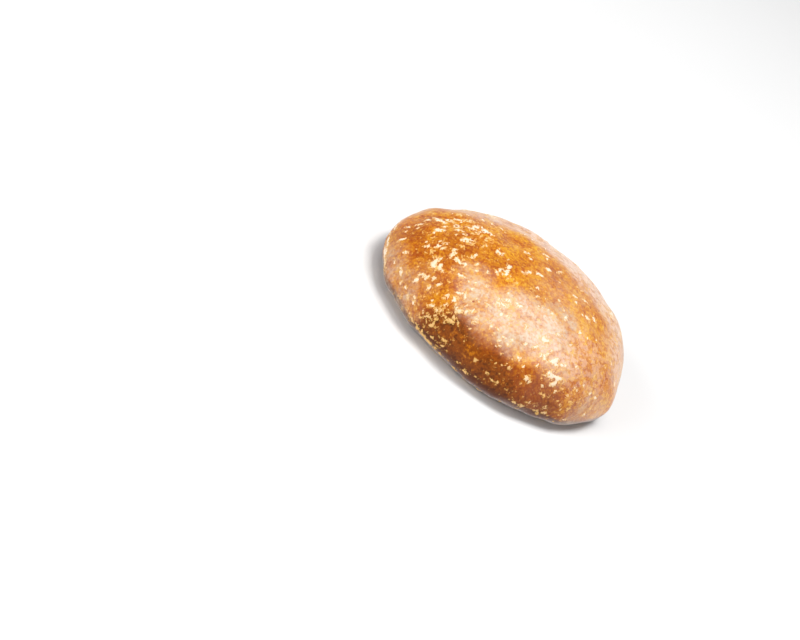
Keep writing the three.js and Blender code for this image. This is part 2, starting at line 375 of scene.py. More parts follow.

# Flakes of dried glaze large enough to place one by one, with a few painted highlights among them; left,
# right and far are as the camera sees it
FLAKES_AND_GLINTS = (
    # The pale line along the far left edge: a painted rim highlight
    Spot(187, 79.5, 4.5, 0.8, 80, 0.9),
    Spot(195, 85.5, 4.8, 1.0, 80, 1.1),
    Spot(203, 89.5, 4.8, 1.2, 80, 1.1),
    Spot(209, 94, 3.5, 1.2, 80),
    # The streak and the crumbs below the far left rim
    Spot(187, 55.5, 1.1, 0.9),
    Spot(184, 52, 2.0, 0.6),
    Spot(185.5, 49, 1.8, 0.7),
    Spot(186.5, 46.5, 1.6, 0.6),
    Spot(182.5, 45, 1.9, 0.7, 10),
    Spot(178.5, 41, 2.2, 0.7, 5),
    Spot(173, 36, 1.6, 0.9, 20, 0.8),
    Spot(172.5, 47, 1.5, 0.5, 0, 0.8),
    Spot(184.5, 34.5, 1.2, 0.5),
    Spot(192, 59, 1.8, 0.7),
    Spot(196, 60, 1.0, 0.6, 60),
    Spot(193, 67.5, 1.4, 0.6, 160, 0.8),
    Spot(197, 68.5, 0.7, 0.6, 0, 0.8),
    Spot(203, 71.5, 1.6, 0.7),
    Spot(212, 71.5, 1.3, 0.6, 155),
    Spot(213, 68, 1.0, 0.4, 150, 0.8),
    Spot(212, 55.3, 1.1, 0.7),
    Spot(208.5, 55.5, 0.8, 0.5, 0, 0.8),
    Spot(192, 44.5, 1.2, 0.5, 15),
    # Large flakes of the left half
    Spot(180.5, 31.3, 2.1, 1.4, 45, 1.1),
    Spot(184.5, 31.5, 1.1, 0.8),
    Spot(181, 26.5, 2.9, 1.2, 170, 1.1),
    Spot(177, 29, 1.1, 0.7),
    Spot(189, 29, 1.4, 0.8, 15, 0.9),
    Spot(193, 36.8, 2.0, 0.8, 175),
    Spot(197.5, 34.5, 1.3, 0.7, 10),
    Spot(200.5, 38.5, 0.9, 0.5, 30),
    Spot(204, 34, 2.5, 1.1),
    Spot(206, 36.5, 1.1, 0.7),
    Spot(207, 32.5, 1.0, 0.7),
    Spot(198, 48, 2.3, 0.9),
    Spot(197, 45.5, 1.4, 0.8),
    Spot(200.5, 50, 0.8, 0.6),
    Spot(209.5, 47.8, 0.9, 0.7),
    Spot(213, 49.8, 1.2, 0.8),
    Spot(211.5, 45.6, 1.3, 0.9),
    Spot(215, 47, 1.1, 0.7),
    Spot(224.5, 55, 1.8, 1.0, 30, 1.2),
    Spot(227.5, 53.5, 1.6, 0.9, 60, 1.1),
    Spot(223, 51, 1.4, 0.7, 40, 0.9),
    Spot(226.5, 57.2, 1.1, 0.6, 80, 0.9),
    Spot(231, 54, 1.0, 0.7, 80, 0.9),
    Spot(220.5, 43.3, 1.7, 1.0, 35),
    Spot(217, 41.5, 0.9, 0.7),
    Spot(226, 42, 2.9, 0.7, 115),
    Spot(229.5, 39.8, 1.0, 0.6, 100),
    Spot(222.5, 32.5, 1.5, 1.0, 30),
    Spot(231, 34, 0.8, 0.6),
    Spot(209.5, 19.5, 1.2, 0.7, 60),
    Spot(214, 19, 1.2, 0.7, 70),
    Spot(212, 17.3, 0.9, 0.5, 60),
    Spot(204.5, 24.6, 0.9, 0.5, 0, 0.8),
    Spot(223, 16, 0.6, 0.5),
    # The left end, down to the foot
    Spot(221, 79, 1.3, 0.9, 60),
    Spot(218, 80, 0.9, 0.6, 0, 0.9),
    Spot(214, 81, 1.1, 0.6, 60, 0.9),
    Spot(225.5, 84, 1.0, 0.6, 0, 0.8),
    Spot(229, 82, 0.8, 0.8),
    Spot(233.5, 84.5, 1.5, 0.6, 70),
    Spot(235.5, 80, 1.0, 0.7, 40),
    Spot(237.5, 83, 1.3, 0.6, 70),
    Spot(230, 89, 0.9, 0.6, 0, 0.8),
    Spot(229.5, 66.5, 1.5, 0.8, 90),
    Spot(231, 64.5, 1.1, 0.6),
    Spot(228, 68, 0.9, 0.6),
    Spot(229.5, 71.5, 1.8, 0.9),
    Spot(233, 61.5, 0.9, 0.8),
    Spot(234.5, 59.3, 0.6, 0.5),
    Spot(237, 60.5, 1.0, 0.6),
    Spot(236, 67.5, 1.1, 0.7),
    Spot(244.1, 61.6, 0.9, 0.8, 45, 1.1),
    Spot(239, 93, 1.0, 0.5, 0, 0.8),
    Spot(244, 97, 1.5, 0.5, 90, 0.8),
    Spot(248, 105, 0.9, 0.7, 0, 0.9),
    # The rim of the cracked blister and the crumbs above it
    Spot(237, 46, 1.7, 0.7, 115),
    Spot(236.5, 36, 0.9, 0.7),
    Spot(239.5, 31.5, 1.0, 0.8),
    Spot(241, 27, 1.5, 0.7, 100),
    Spot(240, 24, 0.9, 0.7),
    Spot(242.5, 45, 1.1, 0.5, 110, 0.8),
    Spot(245, 42, 1.2, 0.5, 120, 0.8),
    Spot(247, 45.5, 0.9, 0.6),
    Spot(250, 38, 0.9, 0.7),
    Spot(246, 53.5, 1.7, 0.5, 135),
    Spot(248.7, 52.3, 1.5, 0.6, 60),
    Spot(247.8, 56.2, 1.1, 0.5, 135, 0.9),
    Spot(248, 59.3, 1.2, 0.7, 45, 1.1),
    Spot(249.8, 60.3, 0.9, 0.7),
    Spot(251.4, 62, 1.3, 0.6, 45),
    Spot(253.3, 61.8, 1.3, 0.8, 135, 1.1),
    Spot(255.7, 59.7, 1.6, 0.8, 135, 1.2),
    Spot(253.3, 56.2, 0.8, 0.5, 0, 0.9),
    Spot(257.5, 55.5, 0.8, 0.7),
    Spot(254.5, 48, 1.1, 0.5, 100, 0.8),
    Spot(259.5, 45.5, 1.5, 0.6, 100),
    # Ridges round the dark cells of the crackled glaze
    Spot(243, 81, 1.3, 0.5, 45, 0.8),
    Spot(245.7, 81.8, 1.5, 0.4, 135, 0.8),
    Spot(247.1, 84.4, 0.9, 0.6, 45, 0.8),
    Spot(248, 80.6, 1.9, 0.45, 70, 0.8),
    Spot(249.7, 81.4, 1.0, 0.7, 60),
    Spot(249.8, 83.5, 0.9, 0.6, 135, 0.9),
    Spot(241.9, 70.5, 0.8, 0.5, 0, 0.8),
    Spot(243.9, 73.2, 1.4, 0.5, 135, 0.9),
    Spot(247, 73, 1.1, 0.5, 45, 0.9),
    Spot(247.3, 70, 1.8, 0.45, 45, 0.85),
    Spot(247.4, 65.7, 1.1, 0.5, 135, 0.9),
    Spot(248.5, 75.5, 1.9, 0.45, 135, 0.85),
    Spot(250.2, 72.3, 1.5, 0.45, 135, 0.85),
    Spot(251.8, 71.9, 1.3, 0.45, 80, 0.85),
    Spot(252.6, 75, 1.4, 0.4, 75, 0.9),
    Spot(254.3, 71.2, 1.3, 1.0, 135),
    Spot(254, 67.6, 1.2, 0.5, 70, 0.9),
    Spot(257, 68.5, 1.9, 0.4, 60, 0.8),
    Spot(251.5, 88, 0.8, 0.5, 45, 0.7),
    Spot(253, 94, 0.9, 0.5, 90, 0.7),
    Spot(258, 90, 1.4, 0.4, 130, 0.8),
    Spot(259.5, 80, 0.8, 0.5, 90, 0.8),
    # Beads along the edge of the foot, below the crackled glaze
    Spot(237.5, 97, 1.3, 0.6, 80, 0.7),
    Spot(242.5, 100, 2.0, 0.8, 80, 0.8),
    Spot(245.5, 112, 1.2, 1.0, 80, 1.1),
    Spot(248.5, 117, 2.0, 0.9, 80),
    Spot(252, 122, 2.2, 0.9, 80, 1.1),
    Spot(256, 126, 1.2, 0.9, 80, 1.1),
    Spot(259.5, 130, 1.3, 0.9, 80),
    Spot(268, 138, 1.6, 0.9, 80),
    Spot(273, 138, 1.2, 0.8, 80, 0.9),
    Spot(281, 138, 1.8, 0.8, 80),
    Spot(291, 136, 1.4, 0.9, 80, 0.9),
    # The crown
    Spot(158, 7, 1.7, 0.5),
    Spot(165, 8.5, 0.9, 0.6),
    Spot(185, 5, 0.8, 0.6),
    Spot(31, 2.3, 1.4, 0.9),
    Spot(43, 8.2, 1.7, 0.9),
    Spot(353, 9, 1.1, 0.5, 0, 0.8),
    Spot(10, 9.5, 0.8, 0.5, 0, 0.8),
    Spot(256, 11.5, 1.7, 0.9, 155),
    Spot(275, 6.6, 1.0, 0.7, 90),
    Spot(288, 6.3, 1.0, 0.6, 90),
    Spot(239, 19, 1.5, 1.0),
    Spot(242.5, 21.5, 1.6, 0.8),
    Spot(236, 18.5, 0.9, 0.7),
    Spot(246, 23.5, 1.2, 0.8),
    Spot(251, 14, 1.1, 0.5, 90, 0.8),
    Spot(283, 16, 1.1, 0.6, 90),
    Spot(286, 21, 1.0, 0.5, 100),
    Spot(288.5, 26.5, 0.7, 0.5),
    Spot(289, 28, 0.7, 0.5),
    Spot(292, 26, 1.2, 0.4, 60),
    Spot(295, 19.5, 1.3, 0.4, 70, 0.8),
    Spot(298, 26, 0.8, 0.5),
    Spot(302, 27, 0.8, 0.6, 0, 0.8),
    Spot(318, 17, 0.9, 0.6),
    Spot(347, 19, 0.8, 0.6),
    Spot(357, 17, 1.8, 0.6, 10),
    Spot(344, 25, 0.7, 0.6, 0, 0.8),
    Spot(318, 22, 1.4, 0.5, 0, 0.8),
    Spot(316.5, 26.5, 0.9, 0.8),
    Spot(357, 29, 1.5, 1.0),
    Spot(348, 28, 1.3, 0.7),
    # Bright bits in the milky part, partly flakes and partly painted glints of the highlight
    Spot(264.5, 39, 2.8, 1.2, 100, 1.1),
    Spot(261, 38, 1.4, 0.8, 100),
    Spot(267, 35, 1.8, 1.2, 60),
    Spot(271.5, 33, 1.2, 0.6, 110),
    Spot(275, 33.5, 1.4, 0.7, 110),
    Spot(266, 42, 1.1, 0.7),
    Spot(268.5, 44.5, 0.9, 0.6),
    Spot(272, 43, 1.2, 0.7, 90),
    Spot(262.5, 31, 1.3, 0.5, 120),
    Spot(284, 42.5, 1.0, 0.8, 0, 0.9),
    Spot(290, 40.3, 1.0, 0.5, 90, 0.9),
    Spot(291.5, 34, 1.6, 0.5, 40, 0.8),
    Spot(297.5, 41, 0.9, 0.7),
    Spot(297, 44, 2.3, 1.0, 90, 1.1),
    Spot(306, 37.5, 1.3, 0.7, 90),
    Spot(293, 49.5, 1.4, 0.7, 120),
    Spot(287, 52, 1.0, 0.6, 90, 0.9),
    Spot(296.5, 53.5, 1.2, 0.9),
    Spot(302, 48, 0.7, 0.6),
    Spot(316.5, 40.7, 1.3, 0.5, 90),
    Spot(328, 33, 1.0, 0.8),
    Spot(333, 36.5, 1.0, 0.5, 0, 0.8),
    Spot(342, 38.5, 0.5, 0.4),
    # The front right side
    Spot(299.5, 53, 1.5, 1.2),
    Spot(303, 54, 1.9, 1.0, 100),
    Spot(305.3, 52.3, 1.4, 1.1),
    Spot(308.5, 54, 1.9, 1.0, 90),
    Spot(303, 61.5, 1.9, 1.0, 110),
    Spot(304.7, 62.7, 2.0, 1.3, 90),
    Spot(308, 62.6, 1.9, 1.0, 100),
    Spot(311, 63.8, 1.0, 0.7),
    Spot(306.3, 66.5, 1.4, 1.2),
    Spot(308.5, 71, 0.8, 0.7),
    Spot(314.5, 71.5, 0.8, 0.6),
    Spot(318, 52.5, 0.9, 0.6),
    Spot(332, 49, 0.7, 0.5, 0, 0.8),
    Spot(341, 53.5, 1.0, 0.5, 0, 0.8),
    Spot(348, 53.5, 1.3, 0.5),
    Spot(350, 67, 1.3, 0.5, 0, 0.9),
    Spot(323, 63, 0.7, 0.7),
    Spot(317.5, 65.5, 0.8, 0.6, 0, 0.9),
    Spot(319, 67, 0.6, 0.4),
    Spot(328.5, 68, 1.1, 0.7, 0, 0.9),
    Spot(333, 72, 0.6, 0.6),
    Spot(323.5, 75.5, 0.7, 0.6, 0, 0.8),
    Spot(313, 80, 1.0, 0.7, 0, 0.9),
    Spot(314, 83, 0.7, 0.5, 0, 0.8),
    Spot(329, 85, 1.2, 0.7, 0, 0.9),
    Spot(319.5, 92, 1.4, 0.6, 90),
    Spot(315, 95, 1.0, 0.5, 90, 0.8),
    Spot(307.5, 86, 1.0, 0.6, 90, 0.9),
    Spot(305, 94, 1.5, 0.6, 90),
    Spot(309, 90, 1.1, 0.6, 90),
    Spot(307.5, 84, 0.7, 0.5, 0, 0.8),
    # The front side
    Spot(261.7, 59.3, 1.2, 0.9),
    Spot(266, 53.5, 1.3, 0.5, 100),
    Spot(268.5, 56, 1.0, 0.6),
    Spot(272, 54, 1.3, 0.5, 90),
    Spot(271.5, 57.5, 0.9, 0.5),
    Spot(275.5, 58.5, 1.0, 0.6),
    Spot(277, 55.5, 1.5, 0.5, 100),
    Spot(280.5, 55, 1.1, 0.7),
    Spot(280, 58, 0.9, 0.8),
    Spot(277, 62, 1.1, 0.5, 120, 0.9),
    Spot(279.5, 65, 0.9, 0.6, 0, 0.9),
    Spot(287, 61.5, 1.1, 0.8),
    Spot(290.5, 65, 0.7, 0.6),
    Spot(286, 71, 0.6, 0.5),
    Spot(294, 71, 1.5, 0.9, 30),
    Spot(295.5, 72.5, 0.7, 0.6),
    Spot(296, 60, 0.8, 0.6, 0, 0.8),
    Spot(301.5, 71.5, 0.9, 0.6, 0, 0.8),
    Spot(285, 64, 0.7, 0.6, 0, 0.8),
    Spot(282, 72, 0.6, 0.5, 0, 0.8),
    Spot(285, 70.5, 0.9, 0.6, 0, 0.8),
    Spot(262.5, 66, 0.6, 0.5, 0, 0.9),
    Spot(264, 74.5, 0.6, 0.6, 0, 0.8),
    Spot(257, 85, 1.4, 0.5, 90, 0.9),
    Spot(272.5, 80, 0.9, 0.7, 0, 0.9),
    Spot(279, 83, 1.5, 0.5, 100, 0.8),
    Spot(279.5, 73, 0.6, 0.6, 0, 0.8),
    Spot(283.5, 69.5, 0.8, 0.6, 0, 0.8),
    Spot(282, 85, 1.1, 0.6, 90, 0.9),
    Spot(284.5, 84, 0.8, 0.6, 0, 0.8),
    Spot(296, 84, 1.0, 0.5, 90, 0.8),
    Spot(300, 86, 1.0, 0.7, 0, 0.8),
    Spot(294.5, 94, 1.8, 0.7, 90),
    Spot(298, 95, 1.5, 0.6, 90, 0.9),
    Spot(272, 101, 1.5, 0.9, 90),
    Spot(276.5, 91, 1.0, 0.5, 90, 0.8),
    Spot(264, 100, 0.6, 0.5, 0, 0.8),
    # Streaks on the far rim
    Spot(155, 24, 1.5, 0.4),
    Spot(158, 29.5, 1.9, 0.5),
    Spot(160, 34.5, 1.4, 0.5),
    Spot(166, 40, 1.7, 0.5),
    Spot(98, 12, 2.0, 0.6, 90),
    Spot(93, 9.5, 0.9, 0.5, 0, 0.8),
    Spot(118, 21, 1.6, 0.5, 90, 0.8),
    Spot(125, 24, 2.2, 0.6, 90, 0.8),
    Spot(100, 19, 2.0, 0.5, 90, 0.8),
    Spot(8, 22, 1.8, 0.5, 0, 0.8),
    Spot(25, 17, 1.0, 0.4, 0, 0.8),
    Spot(25, 21, 1.9, 0.5, 0, 0.8),
)

# Small holes in the glaze; their strength is that of the pale ring round them
PITS = (
    Spot(187.5, 39.5, 0.7, 0.6, 0, 0.8),
    Spot(189, 35.5, 0.5, 0.4, 0, 0.3),
    Spot(253.5, 50.5, 0.7, 0.4, 120, 0.2),
    Spot(222.5, 55.5, 0.8, 0.5, 90, 0.0),
    Spot(229, 54.5, 0.6, 0.5, 0, 0.4),
    Spot(212, 48, 0.6, 0.6, 0, 0.3),
)


def far_flakes() -> list[Spot]:
    """Lay out the flakes of the far side, spread by fractional parts of irrational steps.

    Returns:
        The flakes, in no order.
    """
    count = 26
    bearings, drops, lengths = (22, 168), (38, 98), (1.6, 4.2)
    slimmest, most_widening = 0.4, 0.4
    strides = (0.7549, 0.5698, 0.5497, 0.618, 0.3247)
    spots = []
    for index in range(1, count + 1):
        along, down, size, widening, turn = (index * stride % 1 for stride in strides)
        length = lengths[0] + (lengths[1] - lengths[0]) * size**2
        spots.append(
            Spot(
                bearing=bearings[0] + (bearings[1] - bearings[0]) * along,
                drop=drops[0] + (drops[1] - drops[0]) * down,
                length=length,
                width=length * (slimmest + most_widening * widening),
                turn=180 * turn,
            )
        )
    return spots


@dataclass(frozen=True)
class Ripple:
    """Low waves all over the dough."""

    count: int = 14
    longest: float = 17.0
    shortest: float = 6.0
    rise: float = 0.05

    def rises(self, points: Array) -> Array:
        """Add up the waves, which run in directions spread evenly over a sphere.

        Args:
            points: places in millimetres, one to a row.

        Returns:
            How far the waves lift each of the points, in millimetres.
        """
        golden_angle = math.pi * (3 - math.sqrt(5))
        total = np.zeros(len(points))
        for index in range(self.count):
            up = 1 - (2 * index + 1) / self.count
            around = math.sqrt(1 - up * up)
            turn = index * golden_angle
            crest = self.longest * (self.shortest / self.longest) ** (index / (self.count - 1))
            run = np.array([around * math.cos(turn), around * math.sin(turn), up]) * 2 * math.pi / crest
            total += self.rise * np.sin(points @ run + turn)
        return total


class Mark(Enum):
    """The values that the skin carries for its finish, by the names of their attributes."""

    FLAKE = "flake"  # about 1 in the middle of a flake, and below 0 outside it; a few flakes are painted highlights
    SPECK = "speck"  # how closely small specks crowd
    HAZE_AND_HIGHLIGHT = "haze_and_highlight"  # how milky the glaze is; partly real bloom, partly painted highlight and rim reflection
    BAKE_AND_SHADE = "bake_and_shade"  # how much deeper brown it is, partly baking and partly painted shade; below 0 it is more golden
    LACE = "lace"  # how far the glaze has crackled
    CRUST = "crust"  # dried drips round the edge of the foot
    PIT = "pit"  # 1 in the middle of a small hole
    FOOT_SHADE = "foot"  # painted shade: 1 below the waist, where the side turns under
    STREAK_AND_REFLECTION = "streak_and_reflection"  # how much pale glaze lies in streaks, partly painted reflection and highlight


@dataclass
class Cookie:
    """The whole cookie: its skin, the relief on it, and the marks that its finish reads."""

    # The form, and the cells along a side of the skin's and the underside's grids
    dough: Dough = field(default_factory=Dough)
    ripple: Ripple = field(default_factory=Ripple)
    cells: int = 300
    foot_cells: int = 75
    foot_rim: float = 0.98

    # The relief, which dies out between two drops
    flake_rise: float = 0.14
    flake_slope: tuple[float, float] = (-0.15, 0.7)
    pit_depth: float = 0.1
    pit_slope: tuple[float, float] = (0.0, 0.7)
    pores: tuple[Clouds, ...] = (Clouds(21, 0.035, 1.8), Clouds(21, 0.02, 0.8, 40))
    relief_fade: tuple[float, float] = (150.0, 175.0)

    # Flakes: how much of a spot is filled, and how ragged its edge is
    flake_fill: float = 0.9
    raggedness: float = 0.8
    rag: tuple[Clouds, ...] = (Clouds(11, 0.6, 1.5), Clouds(12, 0.4, 0.75))

    # The pale ring round a pit: its radius in shares of the pit's, and how fast it falls off
    pit_ring: float = 1.5
    pit_ring_falloff: float = 2.0

    # Specks, veil (partly painted highlight and reflection), browning (partly painted shade) and crackle:
    # what is everywhere, and the clouds laid over the areas
    speck_everywhere: float = 0.4
    speck_clouds: Clouds = Clouds(13, 0.3, 5.5)
    haze_and_highlight_clouds: Clouds = Clouds(13, 0.6, 4.0, 30)
    bake_and_shade_clouds: Clouds = Clouds(13, 0.2, 5.0, 60)
    lace_clouds: Clouds = Clouds(11, 0.25, 2.4, 20)

    # The drops between which the browning of the foot (partly painted shade), its painted shade and its
    # crust set in
    bake_and_shade_onset: tuple[float, float] = (84.0, 112.0)
    painted_shade_onset: tuple[float, float] = (82.0, 97.0)
    painted_shade_raggedness: float = 6.0
    crust_onset: tuple[float, float] = (128.0, 150.0)
    crust_clouds: Clouds = Clouds(13, 1.0, 3.0)
    crust_raggedness: float = 0.5
    crust_edge: tuple[float, float] = (-0.3, 0.3)

    # The marks of the underside, where they aren't 0
    underside: ClassVar[dict[Mark, float]] = {Mark.FLAKE: -1.0, Mark.BAKE_AND_SHADE: 0.8}

    def ring_grid(self, cells: int) -> tuple[Array, Array]:
        """Lay a square grid on a disc.

        Args:
            cells: cells along a side of the square.

        Returns:
            The bearing in radians and the share of the way out, for each corner of the grid.
        """
        line = np.linspace(-1, 1, cells + 1)
        a, b = np.meshgrid(line, line, indexing="ij")
        sideways = np.abs(a) >= np.abs(b)
        longer = np.where(sideways, a, b)
        shorter = np.where(sideways, b, a)
        slant = math.pi / 4 * np.divide(shorter, longer, out=np.zeros_like(a), where=longer != 0)
        bearing = np.where(sideways, slant, QUARTER_TURN - slant) + np.where(longer < 0, math.pi, 0)
        return bearing, np.abs(longer)

    def build(self) -> bpy.types.Object:
        """Build the cookie's mesh with its relief and its marks.

        Returns:
            The cookie, standing on Z = 0 and centred on the origin.
        """
        bearing, reach = self.ring_grid(self.cells)
        drop = self.dough.drops_for(reach)
        smooth = self.dough.skin(bearing, drop)
        outward = np.cross(np.gradient(smooth, axis=0), np.gradient(smooth, axis=1))
        outward /= np.linalg.norm(outward, axis=-1, keepdims=True)
        points = smooth.reshape(-1, 3)
        drop_degrees = np.degrees(drop.ravel())
        marks = self.read_marks(points, drop_degrees)
        lift = self.relief(points, marks) * (1 - smooth_step(drop_degrees, *self.relief_fade))
        skin = points + outward.reshape(-1, 3) * lift[:, None]
        skin[:, 2] = np.maximum(skin[:, 2], 0)

        foot_bearing, foot_reach = self.ring_grid(self.foot_cells)
        foot = self.dough.skin(foot_bearing, np.full_like(foot_bearing, math.pi))
        foot = (foot * foot_reach[..., None] * self.foot_rim).reshape(-1, 3)
        vertices = np.concatenate([skin, foot])
        low, high = vertices.min(axis=0), vertices.max(axis=0)
        vertices -= [(low[0] + high[0]) / 2, (low[1] + high[1]) / 2, low[2]]

        mesh = bpy.data.meshes.new("cookie_skin")
        mesh.from_pydata(vertices * METRES_PER_MM, [], self.faces())
        mesh.shade_smooth()
        for mark, values in marks.items():
            under = np.full(len(foot), self.underside.get(mark, 0.0))
            layer = mesh.attributes.new(mark.value, "FLOAT", "POINT")
            layer.data.foreach_set("value", np.concatenate([values, under]).astype(np.float32))
        cookie = bpy.data.objects.new("cookie_glazed", mesh)
        bpy.context.scene.collection.objects.link(cookie)
        return cookie

    def border(self, cells: int, first: int) -> list[int]:
        """List the corners round the edge of a grid.

        Args:
            cells: cells along a side of the grid.
            first: number of the grid's first corner.

        Returns:
            Corner numbers, counter-clockwise seen from above, starting where X and Y are lowest.
        """
        side = cells + 1
        steps = range(cells)
        lower = [first + i * side for i in steps]
        right = [first + cells * side + j for j in steps]
        upper = [first + (cells - i) * side + cells for i in steps]
        left = [first + cells - j for j in steps]
        return lower + right + upper + left

    def faces(self) -> list[tuple[int, ...]]:
        """Join the corners to faces: the skin, the flat foot, and the band of triangles between them.

        Returns:
            The faces, as corner numbers that run counter-clockwise seen from outside.
        """
        side = self.cells + 1
        foot_side = self.foot_cells + 1
        foot_first = side * side
        faces = [
            (i * side + j, (i + 1) * side + j, (i + 1) * side + j + 1, i * side + j + 1)
            for i in range(self.cells)
            for j in range(self.cells)
        ]
        for i in range(self.foot_cells):
            for j in range(self.foot_cells):
                corner = foot_first + i * foot_side + j
                faces.append((corner, corner + 1, corner + foot_side + 1, corner + foot_side))
        outer = self.border(self.cells, 0)
        inner = self.border(self.foot_cells, foot_first)
        share = self.cells // self.foot_cells
        half = share // 2
        for k, near in enumerate(inner):
            onward = inner[(k + 1) % len(inner)]
            run = [outer[(k * share + n) % len(outer)] for n in range(share + 1)]
            faces += [(near, run[n + 1], run[n]) for n in range(half)]
            faces.append((near, onward, run[half]))
            faces += [(onward, run[n + 1], run[n]) for n in range(half, share)]
        return faces

    def flakes_and_pits(self, points: Array, rag: Array) -> tuple[Array, Array]:
        """Work out where the larger flakes and the pits lie.

        Args:
            points: places in millimetres, one to a row.
            rag: the raggedness of the flakes' edges at those places.

        Returns:
            The marks of the flakes and of the pits.
        """
        flake = np.full(len(points), -1.0)
        for spot in [*FLAKES_AND_GLINTS, *far_flakes()]:
            smooth = self.flake_fill * spot.strength - spot.shares(points, self.dough)
            flake = np.maximum(flake, smooth + self.raggedness * rag)
        pit = np.zeros(len(points))
        for spot in PITS:
            shares = spot.shares(points, self.dough)
            ring = spot.strength - self.pit_ring_falloff * np.abs(shares - self.pit_ring)
            flake = np.maximum(flake, ring)
            pit = np.maximum(pit, 1 - shares)
        return flake, pit

    def read_marks(self, points: Array, drop: Array) -> dict[Mark, Array]:
        """Work out the marks of the glaze on the smooth skin.

        Args:
            points: places in millimetres, one to a row.
            drop: their drops in degrees.

        Returns:
            One array of values for each mark.
        """
        rag = sum(clouds.over(points * BRUSHED) for clouds in self.rag)
        flake, pit = self.flakes_and_pits(points, rag)
        speck = self.speck_everywhere + gathered(SPECKLED, points, self.dough)
        speck += self.speck_clouds.over(points)
        # The haze is partly real bloom and partly painted highlight and rim reflection
        haze_and_highlight = gathered(MILKY_AND_HIGHLIT, points, self.dough) * (1 + self.haze_and_highlight_clouds.over(points))
        # The bake is partly real browning and partly painted shade, low on the front and left sides and
        # round the foot
        bake_and_shade = gathered(BROWNED_AND_SHADED, points, self.dough) + self.bake_and_shade_clouds.over(points)
        bake_and_shade += smooth_step(drop, *self.bake_and_shade_onset)
        lace = gathered(CRACKLED, points, self.dough) + self.lace_clouds.over(points)
        drips = self.crust_clouds.over(points) + self.crust_raggedness * rag
        return {
            Mark.FLAKE: np.clip(flake, -1, 1),
            Mark.SPECK: np.clip(speck, 0, 1),
            Mark.HAZE_AND_HIGHLIGHT: np.clip(haze_and_highlight, 0, 1),
            Mark.BAKE_AND_SHADE: np.clip(bake_and_shade, -1, 1),
            Mark.LACE: np.clip(lace, 0, 1),
            Mark.CRUST: smooth_step(drop, *self.crust_onset) * smooth_step(drips, *self.crust_edge),
            Mark.PIT: pit,
            Mark.FOOT_SHADE: smooth_step(drop + self.painted_shade_raggedness * rag, *self.painted_shade_onset),
            Mark.STREAK_AND_REFLECTION: np.clip(gathered(STREAKED_AND_REFLECTED, points, self.dough), 0, 1),
        }

    def relief(self, points: Array, marks: dict[Mark, Array]) -> Array:
        """Work out how far the skin stands off the smooth dough.

        Args:
            points: places in millimetres, one to a row.
            marks: the marks at those places.

        Returns:
            The lift of each point in millimetres.
        """
        lift = self.ripple.rises(points) + gathered(SWELLS, points, self.dough)
        lift += sum(clouds.over(points) for clouds in self.pores)
        lift += self.flake_rise * smooth_step(marks[Mark.FLAKE], *self.flake_slope)
        lift -= self.pit_depth * smooth_step(marks[Mark.PIT], *self.pit_slope)
        return lift


@dataclass(frozen=True)
class Lumps:
    """Noise in a finish: how far apart its lumps lie, how many finer layers it has, and their strength."""

    size: float
    detail: float = 2.0
    roughness: float = 0.5


